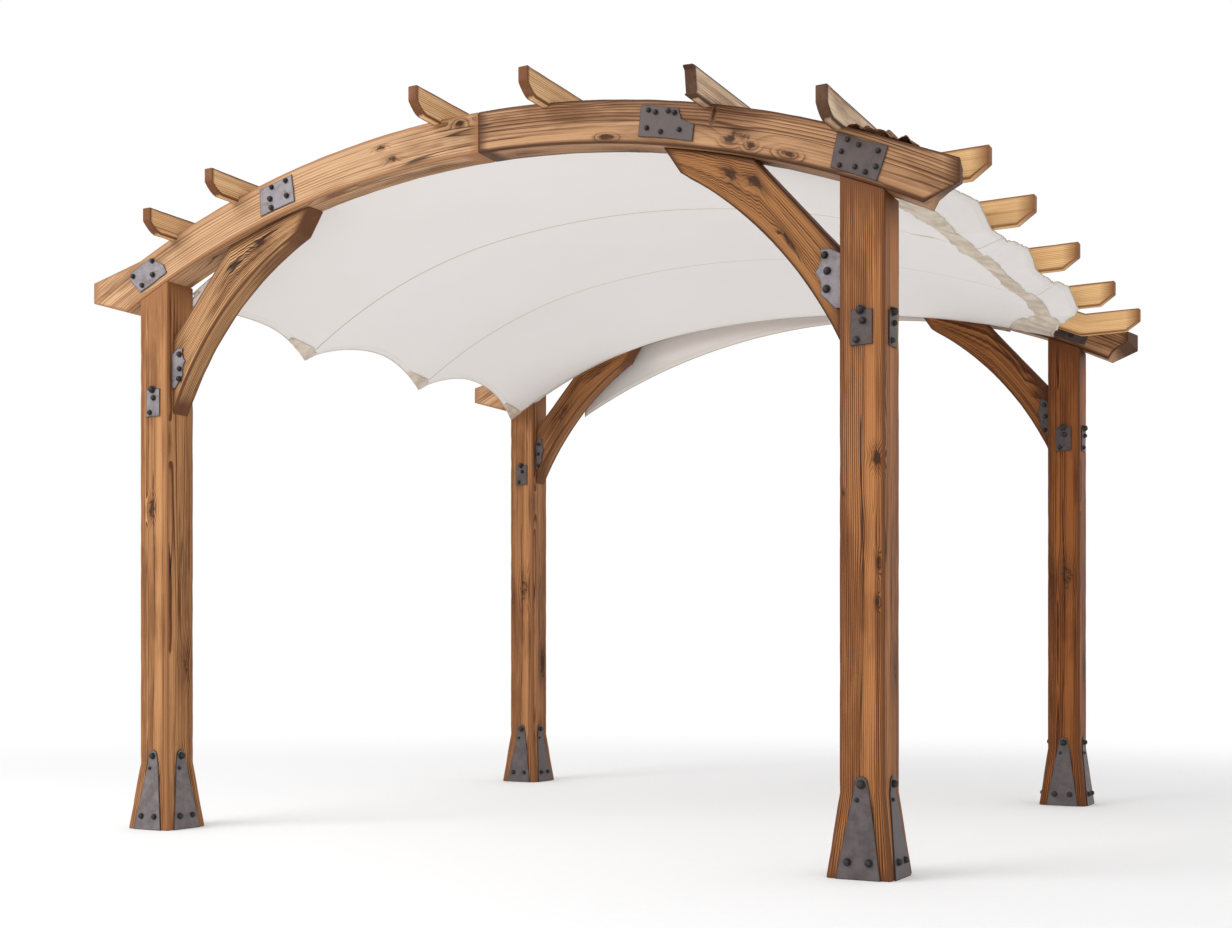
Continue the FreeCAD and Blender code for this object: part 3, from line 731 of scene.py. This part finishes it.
regular_plate("rear_arch_plates", "rear_arch_joint_plates", dark_steel)
regular_plate("front_splice_plate", "front_splice_strap", dark_steel)
regular_plate("rear_splice_plate", "rear_splice_strap", dark_steel)
regular_plate("front_brace_brackets", "front_left_brackets", pale_steel, lambda at: at.x < 0)
regular_plate("front_brace_brackets", "front_right_brackets", pale_steel, lambda at: at.x > 0)
regular_plate("rear_brace_brackets", "rear_brackets", dark_steel)
regular_plate("front_post_plates", "front_left_post_straps", pale_steel, lambda at: at.x < 0)
regular_plate("front_post_plates", "front_right_post_straps", dark_steel, lambda at: at.x > 0)
regular_plate("rear_post_plates", "rear_post_straps", dark_steel)
for name in post_places:
    regular_plate(name + "_foot_plates", name + "_foot_straps",
                  rubbed_foot_steel if name == "front_left" else foot_steel)

# Bolts: round heads of black steel on washers, driven through every plate. They are uneven,
# as they were set out by eye on the front.
bolt_profile = ((0, -0.001), (0.0135, -0.001), (0.0135, 0.0014), (0.0105, 0.0018),
                (0.0105, 0.0070), (0.0092, 0.0108), (0.0055, 0.0136), (0, 0.0146))
bolt = bmesh.new()
profile = [bolt.verts.new((radius, 0, height)) for radius, height in bolt_profile]
bmesh.ops.spin(bolt, geom=profile + [bolt.edges.new(pair) for pair in zip(profile, profile[1:])],
               cent=(0, 0, 0), axis=(0, 0, 1), dvec=(0, 0, 0), angle=math.tau, steps=14,
               use_merge=True, use_duplicate=False)
bmesh.ops.remove_doubles(bolt, verts=bolt.verts, dist=1e-6)
bolt_head = bpy.data.meshes.new("bolt_head")
bolt.to_mesh(bolt_head)
bolt.free()


def drive_bolts(name, places):
    """One mesh of bolt heads, each given by its place, the way it faces and its size."""
    bolts = bmesh.new()
    for place, outward, size in places:
        before = len(bolts.verts)
        bolts.from_mesh(bolt_head)
        bolts.verts.ensure_lookup_table()
        turn = Vector((0, 0, 1)).rotation_difference(outward).to_matrix().to_4x4()
        size *= 1 + 0.12 * noise.noise(place * 31)
        bmesh.ops.transform(bolts, verts=bolts.verts[before:],
                            matrix=Matrix.Translation(place) @ turn @ Matrix.Scale(size, 4))
    bmesh.ops.recalc_face_normals(bolts, faces=bolts.faces)
    piece = make_piece(bolts, name, bolt_steel, smooth=True, sharp=50)
    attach(piece, "root")


front, back = Vector((0, -1, 0)), Vector((0, 1, 0))
outer_plate = arch_face + plate_thick
inner_plate = arch_inner - plate_thick
front_arch_bolts = [(on_arch(along, across, -outer_plate), front,
                     0.85 if along < 0 else 0.72) for along, across in (
    (-1.524, 0.112), (-1.639, 0.108), (-1.543, 0.058), (-1.611, 0.048),
    (-0.874, 0.117), (-0.804, 0.117), (-0.891, 0.075), (-0.811, 0.058), (-0.893, 0.039),
    (0.750, 0.112), (0.777, 0.106), (0.824, 0.112), (0.848, 0.108), (0.754, 0.052),
    (0.809, 0.042), (0.878, 0.053),
    (1.474, 0.111), (1.516, 0.104), (1.468, 0.071), (1.584, 0.103), (1.478, 0.029),
    (1.530, 0.037), (1.570, 0.030), (1.597, 0.055))]
drive_bolts("front_arch_bolts", front_arch_bolts)
joint_middles = (-1.525, -0.868, 0.842, 1.525)
hidden_bolts = [(along + step, across) for along in joint_middles
                for step, across in ((-0.055, 0.045), (-0.055, 0.10), (0, 0.07), (0.055, 0.045),
                                     (0.055, 0.10))]
splice_bolts = [(splice_place + step, across) for step in (-0.12, -0.045, 0.045, 0.12)
                for across in (0.045, 0.105)]
drive_bolts("front_inner_bolts", [(on_arch(along, across, -inner_plate), back, 1.0)
                                  for along, across in hidden_bolts + splice_bolts])
drive_bolts("rear_inner_bolts", [(on_arch(along, across, inner_plate), front, 1.0)
                                 for along, across in hidden_bolts + splice_bolts])
drive_bolts("rear_arch_bolts", [(on_arch(along, across, outer_plate), back, 1.0)
                                for along, across in hidden_bolts])
bracket_bolts = []
bracket_bolt_places = {
    -1: ((1.391, 2.002, 1.0), (1.400, 1.950, 1.0), (1.397, 1.892, 1.0), (-1.406, 1.944, 1.0),
         (-1.406, 1.885, 0.8), (-1.408, 1.844, 1.0)),
    1: ((1.428, 1.925, 0.9), (1.432, 1.870, 0.9), (1.430, 1.805, 0.9), (-1.428, 1.925, 0.9),
        (-1.432, 1.870, 0.9), (-1.430, 1.805, 0.9)),
}
for end, places in bracket_bolt_places.items():
    for x, z, size in places:
        for facing in (front, back):
            y = end * half_depth + facing.y * (brace_thick / 2 + plate_thick)
            bracket_bolts.append((Vector((x, y, z)), facing, size))
drive_bolts("bracket_bolts", bracket_bolts)
post_bolts = []
foot_bolts = []
flare_slope = (foot_side - post_side) / 2 / flare_height
for place in post_places.values():
    for quarter in range(4):
        outward = Vector((math.sin(quarter * math.pi / 2), -math.cos(quarter * math.pi / 2), 0))
        along = Vector((-outward.y, outward.x, 0))
        for offset, rise, size in ((-0.036, 0.055, 1.0), (0.035, 0.055, 1.0),
                                   (-0.014, 0.250, 0.6), (0.0, 0.300, 1.15)):
            half = post_side / 2 + plate_thick + flare_slope * max(0.0, flare_height - rise)
            lean = flare_slope if rise < flare_height else 0.0
            facing = (outward + Vector((0, 0, lean))).normalized()
            foot_bolts.append((place + outward * half + along * offset + Vector((0, 0, rise)),
                               facing, size))
        if outward.x * place.x >= 0:
            face = place + outward * (post_side / 2 + plate_thick)
            for offset, rise, size in ((-0.003, 1.806, 1.2), (0.005, 1.771, 0.9),
                                       (-0.016, 1.712, 0.9)):
                post_bolts.append((face + along * offset + Vector((0, 0, rise)), outward, size))
drive_bolts("post_bolts", post_bolts)
drive_bolts("foot_bolts", foot_bolts)

# Canopy: three widths of heavy off-white canvas sewn together, stretched under the ribs from
# the hollowed left edge, which hangs free between its tips, to the tails over the right eave.
canopy_edge = 1.366
left_tip = 0.262 - eave
right_tip = eave - 0.129
right_bend = 1.6186
droop_start = left_tip + 1.105
droop_radius = 2.46
sag = 0.012
seam_places = (-canopy_edge / 3, canopy_edge / 3)
left_bite = 0.128
right_bite = 0.03
tail_billow = 0.072
wrinkle_depth = 0.020
tail_bays = (-canopy_edge,) + rib_places[1:-1]
right_corner = eave - 0.39
cloth_thick = 0.0015


def canopy_drop(y):
    """How far the cloth hangs below the ribs."""
    for near, far in zip(rib_places[:3], rib_places[1:4]):
        if near < y < far:
            return sag * math.sin(math.pi * (y - near) / (far - near)) ** 2
    if y > rib_places[3]:
        return 0.088 * ((y - rib_places[3]) / (canopy_edge - rib_places[3])) ** 1.25
    return 0.006 * max(0.0, (rib_places[0] - y) / (canopy_edge + rib_places[0]))


def canopy_height(x, y, below):
    drop = canopy_drop(y) + below
    start = Vector((droop_start, 0, on_circle(rib_low, droop_start) - drop))
    middle_x = (droop_start + right_bend) / 2
    middle = Vector((middle_x, 0, on_circle(rib_low, middle_x) - drop))
    bend = Vector((right_bend, 0, on_circle(rib_low, right_bend) - drop * 0.3))
    centre, radius = circle_through(start, middle, bend)
    if x < droop_start:
        centre = start + (centre - start) * (droop_radius / radius)
        radius = droop_radius
    lift = tail_lift(x, y) - tail_wrinkle(x, y)
    if x > right_bend:
        return bend.z + lift
    return centre.z + math.sqrt(radius ** 2 - (x - centre.x) ** 2) + lift


def tail_lift(x, y):
    """Between the tails the cloth billows up and drops back under the next tail."""
    ramp = min(1.0, max(0.0, (x - 1.55) / 0.17))
    ramp = ramp * ramp * (3 - 2 * ramp)
    for near, far in zip(tail_bays, tail_bays[1:]):
        if near < y < far:
            share = (y - near) / (far - near)
            rise = math.sin(math.pi * 0.5 * min(share / 0.82, 1.0)) ** 1.2
            fall = max(0.0, (share - 0.82) / 0.14)
            return tail_billow * ramp * rise * max(0.0, 1 - fall) ** 0.8
    return 0.0


def tail_wrinkle(x, y):
    """Drag lines where the cloth is pulled over to the tails, always below the ribs."""
    ramp = min(1.0, max(0.0, (x - 1.20) / 0.35))
    pull = noise.noise(Vector((x * 2.2, y * 17 - x * 5, 7.0)))
    pull += 0.5 * noise.noise(Vector((x * 4.5, y * 38 - x * 9, 3.0)))
    return wrinkle_depth * ramp * max(0.0, pull)


def bite(y, places, depth, lean=1.0):
    """Hollow of an edge between its tips, drawn towards the nearer tip by a lean under one."""
    for near, far in zip(places, places[1:]):
        if near <= y <= far:
            q = 2 * ((y - near) / (far - near)) ** lean - 1
            return depth * (1 - q * q)
    return 0.0


def canopy_left(y):
    edge = left_tip + bite(y, (-canopy_edge,) + seam_places + (canopy_edge,), left_bite, 0.72)
    if abs(y) > half_depth - post_side / 2 - 0.008:
        edge = max(edge, 0.008 - post_inner)
    return edge


def canopy_right(y):
    last = tail_bays[-1]
    if y > last:
        share = (y - last) / (canopy_edge - last)
        line = right_tip + (right_corner - right_tip) * share
        return line - bite(y, (last, canopy_edge), right_bite)
    return right_tip - bite(y, tail_bays, right_bite)


canvas, desk, shader = new_finish("canvas", 0.9)
shader.inputs["Sheen Weight"].default_value = 0.15
place = desk.place()
hem = desk.read("hem")["Fac"]
seam_gap = desk.math("ABSOLUTE", desk.math("SUBTRACT", desk.math(
    "ABSOLUTE", desk.split(place)["Y"]), seam_places[1]))
seam = desk.range(seam_gap, 0.0042, 0.0018)
hem_line = desk.range(hem, 0.0055, 0.002)
hem_fold = desk.range(hem, 0.030, 0.027)
cloud = desk.noise(place, 1.6, 3.0)
colour = desk.mix(cloud, (0.83, 0.795, 0.765, 1), (0.875, 0.845, 0.82, 1))
colour = desk.mix(desk.math("MULTIPLY", hem_fold, 0.25), colour, (0.74, 0.68, 0.61, 1))
colour = desk.mix(desk.math("MAXIMUM", seam, hem_line), colour, (0.53, 0.43, 0.31, 1))
desk.join(colour, shader.inputs["Base Color"])
weave = desk.noise(desk.vector("MULTIPLY", place, (900.0, 900.0, 900.0)), 1.0, 1.0)
crease = desk.noise(desk.vector("MULTIPLY", place, (2.0, 9.0, 4.0)), 1.0, 3.0, 0.55)
pucker = desk.noise(desk.vector("MULTIPLY", place, (38.0, 9.0, 9.0)), 1.0, 2.0, 0.5)
pucker = desk.math("MULTIPLY", pucker, desk.range(seam_gap, 0.06, 0.0))
height = desk.math("ADD", desk.math("MULTIPLY", weave, 0.05), desk.math("MULTIPLY", crease, 0.8))
height = desk.math("ADD", height, desk.math("MULTIPLY", pucker, 0.5))
height = desk.math("ADD", height, desk.math("MULTIPLY", desk.math("ADD", seam, hem_fold), 0.3))
desk.raise_surface(shader, height, 0.35, 0.006)


def make_cloth(cloth, name, finish, node=None):
    """Gives a cloth its thickness, half to each side, and hangs it in."""
    piece = make_piece(cloth, name, finish, smooth=True)
    body = piece.modifiers.new("thickness", "SOLIDIFY")
    body.thickness = cloth_thick
    body.offset = 0.0
    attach(piece, "root")
    if node is not None:
        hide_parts(node)
    return piece


cloth = bmesh.new()
bmesh.ops.create_grid(cloth, x_segments=150, y_segments=150, size=1.0)
hem_layer = cloth.verts.layers.float.new("hem")
for vert in cloth.verts:
    y = vert.co.y * canopy_edge
    left, right = canopy_left(y), canopy_right(y)
    x = left + (right - left) * (vert.co.x + 1) / 2
    vert[hem_layer] = min(x - left, right - x, canopy_edge - abs(y))
    vert.co = Vector((x, y, canopy_height(x, y, 0.0025)))
canopy = make_cloth(cloth, "canopy_sheet", canvas, "canopy")

# Painted shadow: a band of darker beige canvas hung just under the right side of the canopy, standing
# in for the shadow that falls along the right eave. It is broad at the front, gathered narrow along
# the middle and crumpled where it ends at the rear corner.
shadow_band_outer = right_bend - 0.015
shadow_band_widths = ((-1.4, 0.150), (-1.0, 0.135), (-0.75, 0.105), (-0.45, 0.082), (0.6, 0.080),
                 (0.95, 0.110), (1.15, 0.170), (1.4, 0.215))
# Darker beige canvas: painted shadow in the band along the right eave, and the colour of the doubled
# corner patches.
beige_and_shadow, desk, shader = new_finish("beige_canvas_and_shadow", 0.85)
place = desk.place()
cloud = desk.noise(place, 14.0, 4.0)
desk.join(desk.mix(desk.range(cloud, 0.3, 0.7), (0.55, 0.46, 0.355, 1), (0.75, 0.665, 0.56, 1)),
          shader.inputs["Base Color"])
crumple = desk.noise(desk.vector("MULTIPLY", place, (26.0, 9.0, 14.0)), 1.0, 4.0)
desk.raise_surface(shader, crumple, 0.6, 0.006)


def shadow_band_width(y):
    for (near, wide), (far, narrow) in zip(shadow_band_widths, shadow_band_widths[1:]):
        if near <= y <= far:
            return wide + (narrow - wide) * (y - near) / (far - near)


cloth = bmesh.new()
bmesh.ops.create_grid(cloth, x_segments=14, y_segments=220, size=1.0)
for vert in cloth.verts:
    y = vert.co.y * (canopy_edge - 0.02)
    across = (vert.co.x + 1) / 2
    x = min(shadow_band_outer, canopy_right(y) - 0.01) - shadow_band_width(y) * across
    ruck = noise.noise(Vector((x * 14, y * 16, 1.5))) + 0.5 * noise.noise(Vector((x * 30, y * 40, 4)))
    rucked = 1.0 + 1.6 * math.exp(-((y + 0.80) / 0.12) ** 2) + 1.2 * max(0.0, y - 0.85)
    below = 0.010 + 0.005 * rucked * ruck + 0.004 * math.sin(math.pi * across)
    vert.co = Vector((x, y, canopy_height(x, y, max(below, 0.0045))))
shadow_band = make_cloth(cloth, "painted_shadow_band", beige_and_shadow, "canopy_pocket")

# Corner patches: doubled beige canvas sewn under the tips of the canopy and rucked up where the
# tips were gathered. Each has its tip, length and width, the piece it is cut from and its area.
patch_places = ((-seam_places[1], 0.22, 0.075, (0.09, 0.23), 0.0113),
                (seam_places[1], 0.22, 0.075, (0.09, 0.23), 0.0113),
                (canopy_edge, 0.22, 0.080, (0.09, 0.23), 0.0106),
                (-canopy_edge + 0.07, 0.10, 0.05, (0.06, 0.10), 0.0031))
for number, (tip_y, along, across, cut, cut_area) in enumerate(patch_places, start=1):
    cloth = bmesh.new()
    bmesh.ops.create_grid(cloth, x_segments=16, y_segments=26, size=1.0)
    start = max(tip_y + 0.02 - along, 0.004 - canopy_edge)
    end = min(tip_y + 0.02, canopy_edge - 0.004)
    for vert in cloth.verts:
        y = start + (end - start) * (vert.co.y + 1) / 2
        toward_tip = 1 - (tip_y + 0.02 - y) / along
        width = across * (0.25 + 0.75 * toward_tip) * min(1.0, 4.5 * (1 - toward_tip) + 0.3)
        x = canopy_left(y) + 0.002 + width * (vert.co.x + 1) / 2
        ruck = noise.noise(Vector((x * 40, y * 30, number * 3.0)))
        ruck += 0.4 * noise.noise(Vector((x * 65, y * 65, number * 5.0)))
        vert.co = Vector((x, y, canopy_height(x, y, 0.0085 + 0.0045 * ruck)))
    patch = make_cloth(cloth, "tip_patch_%d" % number, beige_and_shadow)

# Sacking: a rucked strip of coarse brown sackcloth laid over the top of the front arch beside
# the last purlin.
sacking_start = 1.472
sacking_length = 0.235
sacking_width = 0.105
sackcloth, desk, shader = new_finish("brown_sackcloth", 0.95)
shader.inputs["Specular IOR Level"].default_value = 0.1
place = desk.place()
thread = desk.split(place)
warp = desk.math("SINE", desk.math("MULTIPLY", thread["X"], 900.0))
weft = desk.math("SINE", desk.math("MULTIPLY", thread["Y"], 900.0))
weave = desk.math("MULTIPLY", warp, weft)
cloud = desk.noise(place, 40.0, 4.0, 0.6)
desk.join(desk.mix(desk.math("ADD", desk.range(weave, -1.0, 1.0, 0.0, 0.6), desk.math(
    "MULTIPLY", cloud, 0.4)), (0.14, 0.062, 0.030, 1), (0.42, 0.24, 0.14, 1)),
    shader.inputs["Base Color"])
desk.raise_surface(shader, weave, 0.7, 0.002)
cloth = bmesh.new()
bmesh.ops.create_grid(cloth, x_segments=60, y_segments=28, size=1.0)
arch_place = arch_shape(1, -arch_y)
for vert in cloth.verts:
    x = sacking_start + sacking_length * (vert.co.x + 1) / 2
    y = vert.co.y * sacking_width / 2
    top = arch_place(Vector((x - splice_place, y, arch_depth / 2)))
    ruck = abs(noise.noise(Vector((x * 22, y * 9, 5.0))))
    ruck += 0.12 * abs(noise.noise(Vector((x * 45, y * 45, 2.0))))
    ends = min(1.0, 6 * min((vert.co.x + 1) / 2, (1 - vert.co.x) / 2))
    vert.co = Vector((x, top.y + 0.006 * ruck, top.z + 0.003 + 0.060 * ruck * ends))
sacking = make_cloth(cloth, "joint_sacking", sackcloth)

# Valance: a strip of the same canvas hung on edge over the rear ends of the purlins, its lower
# edge cut to a long flat arc that falls away to the left.
valance_y = 1.547
valance_end = eave - 0.645
valance_radius = arch_top - purlin_depth + purlin_stand + 0.016
crown = on_circle(arch_radius, 0)
valance_low = [Vector((-valance_end, 0, crown - 0.442)), Vector((0, 0, crown - 0.078)),
               Vector((valance_end, 0, crown - 0.200))]
low_centre, low_radius = circle_through(*valance_low)
cloth = bmesh.new()
bmesh.ops.create_grid(cloth, x_segments=90, y_segments=14, size=1.0)
hem_layer = cloth.verts.layers.float.new("hem")
for vert in cloth.verts:
    x = vert.co.x * valance_end
    top = on_circle(valance_radius, x)
    low = low_centre.z + math.sqrt(low_radius ** 2 - (x - low_centre.x) ** 2)
    share = (vert.co.y + 1) / 2
    vert[hem_layer] = min(share * (top - low), valance_end - abs(x))
    vert.co = Vector((x, valance_y, low + share * (top - low)))
valance = make_cloth(cloth, "valance_sheet", canvas, "rear_valance")

# Floor: a plain pale paving sheet under the feet, shaded where the gazebo keeps light off it
# and fading into the white background further out.
def seen_directly(desk):
    """One where the eye sees the surface straight, in a reflection or through glass."""
    rays = desk.tree.nodes.new("ShaderNodeLightPath").outputs
    direct = desk.math("MAXIMUM", rays["Is Camera Ray"], rays["Is Glossy Ray"])
    return desk.math("MAXIMUM", direct, rays["Is Transmission Ray"])


paving, desk, floor_shader = new_finish("floor_paving", 0.9)
nodes = desk.tree.nodes
place = desk.place()
desk.join(desk.mix(desk.noise(place, 30.0, 4.0), (0.90, 0.90, 0.905, 1), (0.94, 0.94, 0.945, 1)),
          floor_shader.inputs["Base Color"])
white = nodes.new("ShaderNodeEmission")
white.inputs["Color"].default_value = (1, 1, 1, 1)
blend = nodes.new("ShaderNodeMixShader")
fade = desk.range(desk.vector("LENGTH", place), 2.8, 8.0, 0.10, 1.0)
desk.join(desk.math("MULTIPLY", fade, seen_directly(desk)), blend.inputs[0])
desk.join(floor_shader.outputs[0], blend.inputs[1])
desk.join(white.outputs[0], blend.inputs[2])
desk.join(blend.outputs[0], nodes["Material Output"].inputs["Surface"])
floor_sheet = bmesh.new()
bmesh.ops.create_grid(floor_sheet, x_segments=1, y_segments=1, size=60.0)
floor = make_piece(floor_sheet, "floor", paving)

# Light: an even pale sky, white where it is looked at, and one broad soft lamp from the front
# left.
world = bpy.data.worlds.new("pale_sky")
bpy.context.scene.world = world
world.use_nodes = True
desk = Desk(world.node_tree)
sky = world.node_tree.nodes["Background"]
sky.inputs["Color"].default_value = (1, 1, 1, 1)
desk.join(desk.range(seen_directly(desk), 0.0, 1.0, 0.84, 1.0), sky.inputs["Strength"])
lamp_data = bpy.data.lights.new("soft_lamp", "AREA")
lamp_data.energy = 330
lamp_data.size = 5
lamp = bpy.data.objects.new("soft_lamp", lamp_data)
lamp.location = (-3.5, -6.5, 5.5)
lamp.rotation_euler = (math.radians(52), 0, math.radians(-28))
bpy.context.scene.collection.objects.link(lamp)
bpy.context.scene.view_settings.view_transform = "Standard"
